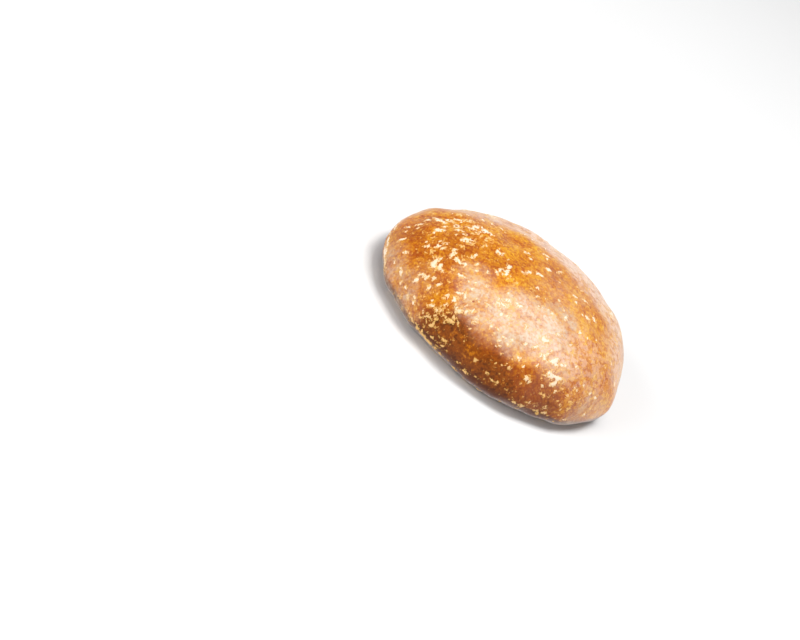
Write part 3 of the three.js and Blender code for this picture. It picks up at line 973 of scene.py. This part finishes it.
class Bench:
    """Adds nodes to one tree and joins them."""

    # The sockets of a Mix node for colours: the share and the two colours, and the result
    MIX_INPUTS = (0, 6, 7)
    MIX_OUTPUT = 2

    def __init__(self, tree: bpy.types.NodeTree) -> None:
        """Keep the tree that the nodes go into."""
        self.tree = tree

    def add(self, kind: str, inputs: dict | None = None, **settings: object) -> bpy.types.Node:
        """Add a node.

        Args:
            kind: the node's type name.
            inputs: values or sockets for its inputs, by name or number.
            settings: values for its own properties.

        Returns:
            The new node.
        """
        node = self.tree.nodes.new(kind)
        for name, value in settings.items():
            setattr(node, name, value)
        for key, value in (inputs or {}).items():
            if isinstance(value, bpy.types.NodeSocket):
                self.tree.links.new(value, node.inputs[key])
            else:
                node.inputs[key].default_value = value
        return node

    def mark(self, mark: Mark) -> bpy.types.NodeSocket:
        """Return the socket that gives a mark of the skin."""
        return self.add("ShaderNodeAttribute", attribute_name=mark.value).outputs["Fac"]

    def math(
        self, operation: str, first: object, second: object = 0.0, third: object = 0.0, clamp: bool = False
    ) -> bpy.types.NodeSocket:
        """Return the socket of a sum, product or other operation on two or three values."""
        inputs = {0: first, 1: second, 2: third}
        return self.add("ShaderNodeMath", inputs, operation=operation, use_clamp=clamp).outputs[0]

    def plus(
        self, total: object, value: object, weight: object, clamp: bool = False
    ) -> bpy.types.NodeSocket:
        """Return the socket of a total with so many times a value added to it."""
        return self.math("MULTIPLY_ADD", value, weight, total, clamp)

    def product(self, first: object, *others: object) -> bpy.types.NodeSocket:
        """Multiply values.

        Args:
            first: a value or a socket.
            others: more of them.

        Returns:
            The socket of the product of them all.
        """
        result = first
        for other in others:
            result = self.math("MULTIPLY", result, other)
        return result

    def centred(self, value: object) -> bpy.types.NodeSocket:
        """Return the socket of a value about 0.5, moved to lie about 0."""
        return self.math("ADD", value, -0.5)

    def places(self, operation: str, inputs: dict) -> bpy.types.NodeSocket:
        """Return the socket of a sum, product or other operation on places."""
        return self.add("ShaderNodeVectorMath", inputs, operation=operation).outputs[0]

    def step(
        self, value: object, low: float, high: float, start: float = 0.0, end: float = 1.0
    ) -> bpy.types.NodeSocket:
        """Return the socket of a smooth change from start to end as the value goes from low to high."""
        inputs = {"Value": value, "From Min": low, "From Max": high, "To Min": start, "To Max": end}
        return self.add("ShaderNodeMapRange", inputs, interpolation_type="SMOOTHSTEP").outputs["Result"]

    def blend(self, share: object, first: object, second: object) -> bpy.types.NodeSocket:
        """Mix two colours.

        Args:
            share: how much of the second colour there is, 0 to 1.
            first: a colour or a socket.
            second: a colour or a socket.

        Returns:
            The socket of the mixed colour.
        """
        node = self.add("ShaderNodeMix", data_type="RGBA")
        for number, value in zip(self.MIX_INPUTS, (share, first, second)):
            socket = node.inputs[number]
            if isinstance(value, bpy.types.NodeSocket):
                self.tree.links.new(value, socket)
            elif isinstance(value, tuple):
                socket.default_value = (*value, 1.0)
            else:
                socket.default_value = value
        return node.outputs[self.MIX_OUTPUT]

    def noise_node(self, where: object, lumps: Lumps) -> bpy.types.Node:
        """Fill space with noise.

        Args:
            where: the socket of places in millimetres.
            lumps: how the noise looks.

        Returns:
            The noise's node.
        """
        inputs = {"Vector": where, "Scale": 1 / lumps.size}
        inputs |= {"Detail": lumps.detail, "Roughness": lumps.roughness}
        return self.add("ShaderNodeTexNoise", inputs, noise_dimensions="3D")

    def noise(self, where: object, lumps: Lumps) -> bpy.types.NodeSocket:
        """Return the socket of noise, about 0.3 to 0.7, with the given lumps."""
        return self.noise_node(where, lumps).outputs["Fac"]

    def warped(self, where: object, lumps: Lumps, reach: float) -> bpy.types.NodeSocket:
        """Shake places about, so that what is laid on them loses its straight edges.

        Args:
            where: the socket of places in millimetres.
            lumps: how the shaking varies from place to place.
            reach: twice the furthest that a place moves.

        Returns:
            The socket of the shaken places.
        """
        shake = self.noise_node(where, lumps).outputs["Color"]
        shake = self.places("SUBTRACT", {0: shake, 1: (0.5, 0.5, 0.5)})
        return self.places("MULTIPLY_ADD", {0: shake, 1: (reach, reach, reach), 2: where})

    def cells(self, where: object, size: float) -> bpy.types.NodeSocket:
        """Fill space with cells, each of one random value.

        Args:
            where: the socket of places in millimetres.
            size: about how wide the cells are.

        Returns:
            The socket of the values, 0 to 1.
        """
        inputs = {"Vector": where, "Scale": 1 / size}
        colour = self.add("ShaderNodeTexVoronoi", inputs, feature="F1").outputs["Color"]
        return self.add("ShaderNodeSeparateColor", {0: colour}).outputs[0]

    def seams(self, where: object, size: float) -> bpy.types.NodeSocket:
        """Return the socket of the distance to the nearest seam between cells, as a share of their size."""
        inputs = {"Vector": where, "Scale": 1 / size}
        return self.add("ShaderNodeTexVoronoi", inputs, feature="DISTANCE_TO_EDGE").outputs["Distance"]


@dataclass(frozen=True)
class GlazedCrust:
    """The finish: browned dough under a sugar glaze, with cream flakes where the glaze has dried; part of
    the browning is painted shade, and part of the milky veil painted highlight and reflection.
    """

    # The clear glaze, from its dark lumps to its golden ones
    rust: Colour = linear(170, 76, 10)
    amber: Colour = linear(202, 122, 16)
    gold: Colour = linear(222, 164, 34)

    # The deeper baked glaze, from its dark lumps up, dark partly as painted shade low on the sides, and the
    # painted shade of the foot
    bark_and_shaded: Colour = linear(86, 39, 4)
    deep_and_shaded: Colour = linear(136, 67, 5)
    painted_shade: Colour = linear(82, 42, 26)
    painted_shade_share: float = 0.8

    # The veil and the pale streaks, partly painted highlight and reflection, the ground of a pit, and dried
    # glaze where it is thick and where thin
    milk_and_highlight: Colour = linear(206, 182, 155)
    frost_and_reflection: Colour = linear(234, 206, 188)
    hole: Colour = linear(140, 50, 16)
    cream: Colour = linear(240, 222, 200)
    straw: Colour = linear(224, 174, 92)

    # How deeper baking and painted shade take gold out of the clear glaze and whiteness out of the flakes
    bake_and_shade_on_gold: float = -0.7
    bake_and_shade_on_flakes: float = -0.85

    # Where on the scale of the mottling each colour begins, and where it is whole
    amber_onset: tuple[float, float] = (0.0, 0.55)
    gold_onset: tuple[float, float] = (0.5, 1.0)
    deep_onset: tuple[float, float] = (0.0, 0.6)
    baked_and_shaded_amber_onset: tuple[float, float] = (0.7, 1.15)

    # Where dried glaze begins to cover the skin and covers it, and where it is straw and where cream
    cover_onset: tuple[float, float] = (-0.09, 0.17)
    pale_onset: tuple[float, float] = (0.0, 0.8)

    # Where the ground of a pit begins to show, and shows whole
    pit_onset: tuple[float, float] = (0.0, 0.5)

    # What thins or thickens the veil: the low and high of a noise, and the share of the veil at each
    veil_grain: tuple[float, float, float, float] = (0.3, 0.7, 0.58, 0.76)
    veil_patches: tuple[float, float, float, float] = (0.38, 0.6, 0.6, 1.2)
    veil_streaks: tuple[float, float, float, float] = (0.42, 0.58, 0.75, 1.2)
    strand_share: tuple[float, float, float, float] = (0.46, 0.54, 0.1, 0.7)

    # Lumps of each kind of noise, and the widths of the cells, in millimetres
    cloudy: Lumps = Lumps(0.8, 4.0, 0.75)
    broad: Lumps = Lumps(4.6)
    fine: Lumps = Lumps(0.42, 2.0, 0.6)
    crumbs: Lumps = Lumps(0.5, 3.0, 0.7)
    folds: Lumps = Lumps(0.9, 3.0, 0.6)
    islands: Lumps = Lumps(1.5, 4.0, 0.75)
    patches: Lumps = Lumps(1.8, 3.0, 0.65)
    streaks: Lumps = Lumps(0.9, 3.0, 0.7)
    strands: Lumps = Lumps(1.5, 4.0, 0.75)
    wrinkles: Lumps = Lumps(1.1, 3.0, 0.6)
    shaking: Lumps = Lumps(0.45)
    shake_reach: float = 0.5
    grain_cell: float = 0.45
    flake_cell: float = 0.36
    net_cell: float = 1.5

    # How much each noise adds to the mottling, and a shift that darkens the whole
    mottle_cloudy: float = 2.2
    mottle_grain: float = 0.5
    mottle_broad: float = 0.8
    mottle_shift: float = -0.15

    # How noise breaks up the flakes, and where its folds add threads to them
    flake_blocks: float = 0.9
    flake_crumbs: float = 2.6
    thread_level: float = 0.4
    thread_slope: float = -5.0

    # Specks: what the noise has to reach, what their crowd and the cells add to it, and their steepness
    speck_threshold: float = 0.7
    speck_crowding: float = 0.14
    speck_blocks: float = 0.12
    speck_gain: float = 2.5

    # The net of ridges along the seams between cells, and the crust round the foot
    ridge_edge: tuple[float, float] = (0.02, 0.12)
    lace_threshold: float = 1.0
    lace_gain: float = 0.7
    lace_crumbs: float = 3.0
    crust_threshold: float = 0.8
    crust_gain: float = 0.7
    crust_blocks: float = 0.8

    # Heights in the fine bumps, in millimetres
    flake_height: float = 0.045
    mottle_height: float = 0.02
    fine_height: float = 0.015
    wrinkle_height: float = 0.06

    # The gloss
    glaze_roughness: float = 0.38
    flake_roughness: float = 0.75
    refraction: float = 1.5
    specular_level: float = 0.34
    sheen: float = 0.35
    sheen_roughness: float = 0.3
    sheen_tint: Colour = (1.0, 0.9, 0.85)

    def make(self) -> bpy.types.Material:
        """Make the material.

        Returns:
            A material that reads the skin's marks.
        """
        material = bpy.data.materials.new("glazed_crust")
        material.use_nodes = True
        tree = material.node_tree
        tree.nodes.clear()
        bench = Bench(tree)
        place = bench.add("ShaderNodeTexCoord").outputs["Object"]
        where = bench.places("SCALE", {0: place, "Scale": 1 / METRES_PER_MM})
        brushed = bench.places("MULTIPLY", {0: where, 1: BRUSHED})
        shaken = bench.warped(brushed, self.shaking, self.shake_reach)
        fine = bench.noise(where, self.fine)
        mottle = self.mottle(bench, where, shaken)
        sugar = self.sugar(bench, brushed, shaken)
        cover = bench.step(sugar, *self.cover_onset)
        thick = bench.step(sugar, *self.pale_onset)
        veiled = self.veiled_glaze(bench, where, self.clear_glaze(bench, mottle), fine)
        glaze = bench.blend(bench.step(bench.mark(Mark.PIT), *self.pit_onset), veiled, self.hole)
        shader = bench.add(
            "ShaderNodeBsdfPrincipled",
            {
                "Base Color": bench.blend(cover, glaze, self.dried_glaze(bench, thick)),
                "Roughness": bench.step(cover, 0.0, 1.0, self.glaze_roughness, self.flake_roughness),
                "Normal": self.dents(bench, brushed, thick, mottle, fine),
                "IOR": self.refraction,
                "Specular IOR Level": self.specular_level,
                "Sheen Weight": self.sheen,
                "Sheen Roughness": self.sheen_roughness,
                "Sheen Tint": (*self.sheen_tint, 1.0),
            },
        )
        output = bench.add("ShaderNodeOutputMaterial")
        tree.links.new(shader.outputs["BSDF"], output.inputs["Surface"])
        return material

    def mottle(self, bench: Bench, where: object, shaken: object) -> bpy.types.NodeSocket:
        """Work out the glaze's mottling.

        Args:
            bench: where the nodes go.
            where: places in millimetres.
            shaken: the same places, shaken about.

        Returns:
            The socket of values about 0 in dark lumps and 1 in golden ones.
        """
        cloudy = bench.noise(where, self.cloudy)
        broad = bench.noise(where, self.broad)
        blocks = bench.cells(shaken, self.grain_cell)
        total = bench.plus(-self.mottle_cloudy / 2, cloudy, self.mottle_cloudy)
        total = bench.math("ADD", bench.plus(total, blocks, self.mottle_grain), self.mottle_shift)
        return bench.plus(total, broad, self.mottle_broad, clamp=True)

    def sugar(self, bench: Bench, where: object, shaken: object) -> bpy.types.NodeSocket:
        """Work out where glaze has dried on the skin: flakes, specks, a net of ridges, and crust.

        Args:
            bench: where the nodes go.
            where: places in millimetres.
            shaken: the same places, shaken about.

        Returns:
            The socket of values above 0 where it covers the skin, which grow with its thickness.
        """
        blocks = bench.centred(bench.cells(shaken, self.flake_cell))
        crumbs = bench.centred(bench.noise(where, self.crumbs))
        folds = bench.centred(bench.noise(where, self.folds))
        threads = bench.plus(self.thread_level, bench.math("ABSOLUTE", folds), self.thread_slope)
        flakes = bench.plus(bench.mark(Mark.FLAKE), blocks, self.flake_blocks)
        flakes = bench.plus(bench.math("ADD", flakes, threads), crumbs, self.flake_crumbs)

        specks = bench.plus(bench.noise(where, self.islands), bench.mark(Mark.SPECK), self.speck_crowding)
        specks = bench.plus(bench.math("ADD", specks, -self.speck_threshold), blocks, self.speck_blocks)
        specks = bench.math("MULTIPLY", specks, self.speck_gain)

        lace = bench.step(bench.seams(shaken, self.net_cell), *self.ridge_edge, start=0.5, end=-0.5)
        lace = bench.math("ADD", lace, -self.lace_threshold)
        lace = bench.plus(lace, bench.mark(Mark.LACE), self.lace_gain)
        lace = bench.plus(lace, crumbs, self.lace_crumbs)

        crust = bench.plus(-self.crust_threshold, blocks, self.crust_blocks)
        crust = bench.plus(crust, bench.mark(Mark.CRUST), self.crust_gain)
        most = bench.math("MAXIMUM", flakes, specks)
        return bench.math("MAXIMUM", most, bench.math("MAXIMUM", lace, crust))

    def dried_glaze(self, bench: Bench, thick: object) -> bpy.types.NodeSocket:
        """Mix the colour of the dried glaze.

        Args:
            bench: where the nodes go.
            thick: how thick the dried glaze is, 0 to 1.

        Returns:
            The socket of the colour, paler where it is thick and less so where it is baked deeper or shade
            is painted.
        """
        # Painted shade too: where the bake mark is high the flakes turn to straw
        baked = bench.math("MULTIPLY", thick, bench.mark(Mark.BAKE_AND_SHADE))
        pale = bench.plus(thick, baked, self.bake_and_shade_on_flakes, clamp=True)
        return bench.blend(pale, self.straw, self.cream)

    def clear_glaze(self, bench: Bench, mottle: object) -> bpy.types.NodeSocket:
        """Mix the colour of the clear glaze.

        Args:
            bench: where the nodes go.
            mottle: the mottling, 0 to 1.

        Returns:
            The socket of the colour, deeper brown where it is baked deeper or shade is painted, with
            painted shade on the foot.
        """
        bake_and_shade = bench.mark(Mark.BAKE_AND_SHADE)
        sunny = bench.plus(mottle, bake_and_shade, self.bake_and_shade_on_gold)
        light = bench.blend(bench.step(sunny, *self.amber_onset), self.rust, self.amber)
        light = bench.blend(bench.step(sunny, *self.gold_onset), light, self.gold)
        # The dark browns stand partly for deeper baking and partly for painted shade low on the sides
        dark = bench.blend(bench.step(mottle, *self.deep_onset), self.bark_and_shaded, self.deep_and_shaded)
        dark = bench.blend(bench.step(mottle, *self.baked_and_shaded_amber_onset), dark, self.amber)
        # Painted shade: the foot below the waist is darkened towards the shade colour
        foot_painted_shade = bench.math("MULTIPLY", bench.mark(Mark.FOOT_SHADE), self.painted_shade_share)
        return bench.blend(bake_and_shade, light, bench.blend(foot_painted_shade, dark, self.painted_shade))

    def veiled_glaze(
        self, bench: Bench, where: object, clear: object, fine: object
    ) -> bpy.types.NodeSocket:
        """Lay the milky veil and the pale streaks over the clear glaze; both are partly painted highlight
        and reflection.

        Args:
            bench: where the nodes go.
            where: places in millimetres.
            clear: the colour of the clear glaze.
            fine: fine noise, about 0.3 to 0.7.

        Returns:
            The socket of the colour.
        """
        grain = bench.step(fine, *self.veil_grain)
        patches = bench.step(bench.noise(where, self.patches), *self.veil_patches)
        streaks = bench.step(bench.noise(where, self.streaks), *self.veil_streaks)
        veil = bench.product(bench.mark(Mark.HAZE_AND_HIGHLIGHT), grain, patches, streaks)
        # Painted reflection in part: pale streaks along the far rim and on the front
        strands = bench.step(bench.noise(where, self.strands), *self.strand_share)
        strands = bench.math("MULTIPLY", strands, bench.mark(Mark.STREAK_AND_REFLECTION))
        return bench.blend(strands, bench.blend(veil, clear, self.milk_and_highlight), self.frost_and_reflection)

    def dents(
        self, bench: Bench, brushed: object, thick: object, mottle: object, fine: object
    ) -> bpy.types.NodeSocket:
        """Work out the bumps that are finer than the mesh.

        Args:
            bench: where the nodes go.
            brushed: places in millimetres, drawn out the way the glaze is brushed.
            thick: how thick the dried glaze is, 0 to 1.
            mottle: the mottling, 0 to 1.
            fine: fine noise, about 0.3 to 0.7.

        Returns:
            The socket of the bumpy skin's normals.
        """
        parts = (
            (mottle, self.mottle_height),
            (fine, self.fine_height),
            (bench.noise(brushed, self.wrinkles), self.wrinkle_height),
        )
        height = bench.math("MULTIPLY", thick, self.flake_height)
        for part, rise in parts:
            height = bench.plus(height, part, rise)
        inputs = {"Height": height, "Distance": METRES_PER_MM, "Strength": 1.0}
        return bench.add("ShaderNodeBump", inputs).outputs["Normal"]


@dataclass(frozen=True)
class SoftBox:
    """A square-on soft light: its place seen from the cookie, its size and its glow, in metres."""

    name: str
    bearing: float
    elevation: float
    distance: float
    width: float
    height: float
    glow: float
    mirrored: bool = True

    def hang(self, target: Vector) -> bpy.types.Object:
        """Hang the light, facing the target.

        Args:
            target: the point that it faces, in metres.

        Returns:
            The light.
        """
        bearing, elevation = math.radians(self.bearing), math.radians(self.elevation)
        level = math.cos(elevation)
        away = Vector((math.cos(bearing) * level, math.sin(bearing) * level, math.sin(elevation)))
        data = bpy.data.lights.new(self.name, "AREA")
        data.shape = "RECTANGLE"
        data.size, data.size_y = self.width, self.height
        data.energy = self.glow * math.pi * self.width * self.height
        light = bpy.data.objects.new(self.name, data)
        light.visible_glossy = self.mirrored
        light.location = target + away * self.distance
        light.rotation_euler = away.to_track_quat("Z", "Y").to_euler()
        bpy.context.scene.collection.objects.link(light)
        return light


@dataclass(frozen=True)
class Lens:
    """The camera: where it stands, its roll, and where the cookie's middle falls in the picture."""

    elevation: float = 26.0
    distance_mm: float = 418.9
    roll: float = 38.68
    lens_mm: float = 85.0
    sensor_mm: float = 36.0
    nearest_m: float = 0.01
    furthest_m: float = 10.0
    picture_width: int = 800
    picture_height: int = 640
    target_height_mm: float = 9.0
    target_pixel: tuple[float, float] = (514.80, 300.55)

    def place(self, middle: Vector) -> bpy.types.Object:
        """Place the camera so that the target falls on its pixel.

        Args:
            middle: the point on the floor under the cookie's form, in metres.

        Returns:
            The camera, set as the scene's own.
        """
        elevation = math.radians(self.elevation)
        target = middle + Vector((0, 0, self.target_height_mm * METRES_PER_MM))
        back = Vector((0, -math.cos(elevation), math.sin(elevation)))
        to_pixels = self.lens_mm / self.sensor_mm * self.picture_width
        right_offset = (self.target_pixel[0] - self.picture_width / 2) / to_pixels
        up_offset = (self.picture_height / 2 - self.target_pixel[1]) / to_pixels
        straight = Vector((0, 0, -1))
        seen = Vector((right_offset, up_offset, -1)).normalized()
        rolled = Matrix.Rotation(math.radians(self.roll), 3, "Z").to_quaternion()
        aim = back.to_track_quat("Z", "Y") @ rolled @ seen.rotation_difference(straight)
        data = bpy.data.cameras.new("camera")
        data.lens, data.sensor_width = self.lens_mm, self.sensor_mm
        data.clip_start, data.clip_end = self.nearest_m, self.furthest_m
        camera = bpy.data.objects.new("camera", data)
        camera.location = target + back * self.distance_mm * METRES_PER_MM
        camera.rotation_mode = "QUATERNION"
        camera.rotation_quaternion = aim
        bpy.context.scene.collection.objects.link(camera)
        bpy.context.scene.camera = camera
        return camera


@dataclass(frozen=True)
class Studio:
    """A plain white floor, soft lights, and a surround that is brightest low down behind on the right."""

    # The floor
    floor_side: float = 6.0
    floor_white: float = 0.8
    floor_roughness: float = 0.9
    floor_specular_level: float = 0.1

    # The lights, and the height of the point that they face, in metres
    lights: tuple[SoftBox, ...] = (
        SoftBox("key", 36, 75, 0.9, 0.4, 0.4, 14.3),
        SoftBox("crown", 225, 76, 0.9, 0.36, 0.36, 3.2),
        SoftBox("left_card", 222, 22, 0.9, 0.8, 0.5, 5.2, mirrored=False),
        SoftBox("right_card", 330, 20, 0.9, 0.6, 0.35, 2.6),
    )
    lit_height: float = 0.01

    # The surround: each band is where its share of the glow changes, along Z, Y and X
    horizon_glow: float = 1.1
    zenith_glow: float = 0.12
    horizon_band: tuple[float, float] = (0.06, 0.32)
    front_band: tuple[float, float] = (-0.65, -0.1)
    front_share: float = 0.15
    left_band: tuple[float, float] = (-0.7, 0.1)
    left_share: float = 0.3

    def build(self) -> bpy.types.Object:
        """Build the floor, the lights and the surround.

        Returns:
            The floor.
        """
        half = self.floor_side / 2
        corners = [(-half, -half, 0), (half, -half, 0), (half, half, 0), (-half, half, 0)]
        mesh = bpy.data.meshes.new("floor")
        mesh.from_pydata(corners, [], [(0, 1, 2, 3)])
        floor = bpy.data.objects.new("floor", mesh)
        bpy.context.scene.collection.objects.link(floor)
        floor.data.materials.append(self.floor_material())
        floor.visible_glossy = False
        for light in self.lights:
            light.hang(Vector((0, 0, self.lit_height)))
        self.surround()
        return floor

    def floor_material(self) -> bpy.types.Material:
        """Make the floor's matte white.

        Returns:
            The material.
        """
        material = bpy.data.materials.new("floor_white")
        material.use_nodes = True
        shader = material.node_tree.nodes["Principled BSDF"]
        white = self.floor_white
        shader.inputs["Base Color"].default_value = (white, white, white, 1)
        shader.inputs["Roughness"].default_value = self.floor_roughness
        shader.inputs["Specular IOR Level"].default_value = self.floor_specular_level
        return material

    def surround(self) -> None:
        """Light the scene from all round, brighter at the horizon than overhead."""
        world = bpy.data.worlds.new("surround")
        bpy.context.scene.world = world
        world.use_nodes = True
        world.node_tree.nodes.clear()
        bench = Bench(world.node_tree)
        towards = bench.add("ShaderNodeTexCoord").outputs["Generated"]
        axes = bench.add("ShaderNodeSeparateXYZ", {0: towards}).outputs
        band = bench.step(axes["Z"], *self.horizon_band, self.horizon_glow, 0.0)
        behind = bench.step(axes["Y"], *self.front_band, self.front_share, 1.0)
        beside = bench.step(axes["X"], *self.left_band, self.left_share, 1.0)
        glow = bench.plus(self.zenith_glow, band, bench.math("MULTIPLY", behind, beside))
        background = bench.add("ShaderNodeBackground", {"Color": (1, 1, 1, 1), "Strength": glow})
        output = bench.add("ShaderNodeOutputWorld")
        world.node_tree.links.new(background.outputs[0], output.inputs["Surface"])


def main() -> None:
    """Build the cookie, its finish and the studio, attach the cookie to the root body, hide the imported
    cookie, and place the camera.
    """
    logging.basicConfig(level=logging.INFO, format="%(name)s: %(message)s")
    cookie = Cookie().build()
    cookie.data.materials.append(GlazedCrust().make())
    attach(cookie, "root")
    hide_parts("cookie")
    log.info("cookie: %d faces", len(cookie.data.polygons))
    Studio().build()
    log.info("studio: floor, lights and surround")
    Lens().place(Vector((0, 0, 0)))
    log.info("camera placed")
    bpy.context.scene.view_settings.view_transform = "Standard"


if __name__ == "__main__":
    main()
